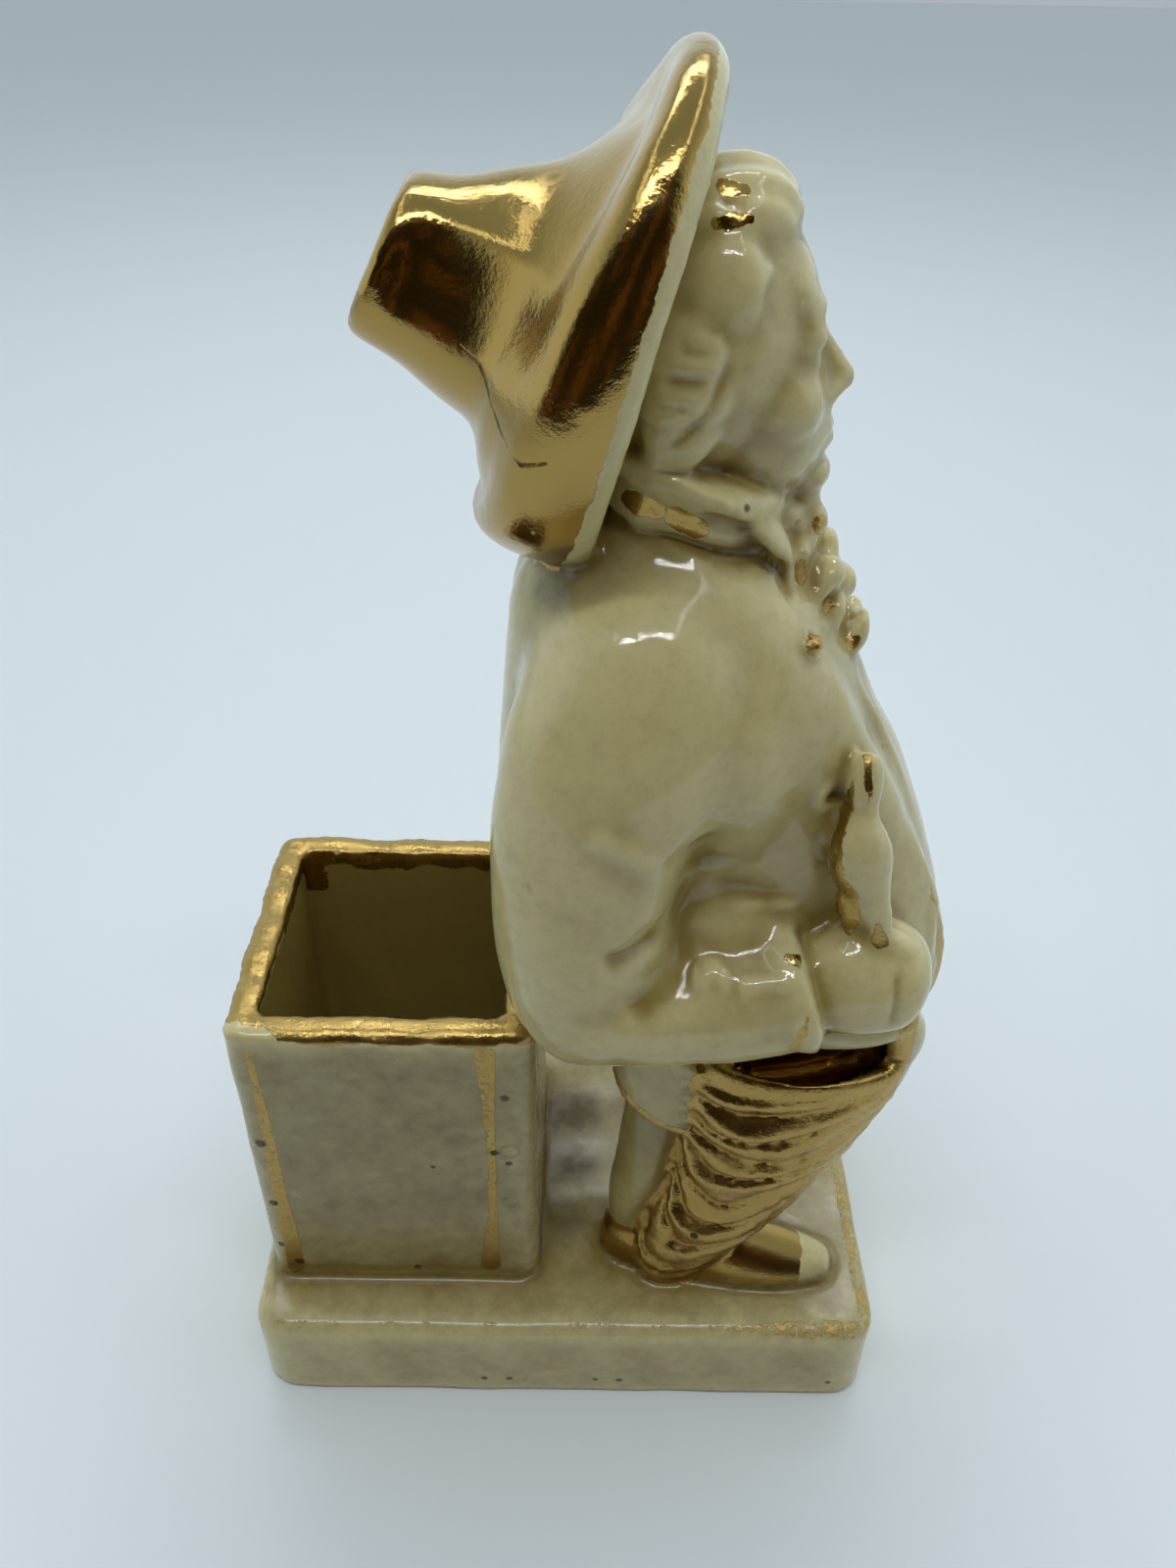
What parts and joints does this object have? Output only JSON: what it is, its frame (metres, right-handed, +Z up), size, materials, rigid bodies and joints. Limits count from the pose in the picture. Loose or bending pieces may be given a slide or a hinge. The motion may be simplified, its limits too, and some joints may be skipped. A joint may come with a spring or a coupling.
{
  "type": "figural match holder",
  "caption": "Glazed ceramic match holder: a stout standing man in a big hat, with a furled umbrella, beside an open square match box on a slab base.",
  "frame": {"origin": "middle of the base's underside", "axes": "+X is the way the man faces, away from the match box; +Z is up; +Y is to his left"},
  "size_m": [0.0735, 0.0443, 0.1354],
  "materials": {
    "ivory_glaze": "glossy ivory glaze over pale earthenware, with worn hand-painted gold on hat, umbrella, shoes, collar and edges"
  },
  "bodies": {
    "root": {"match_holder": "ivory_glaze"}
  },
  "joints": []
}
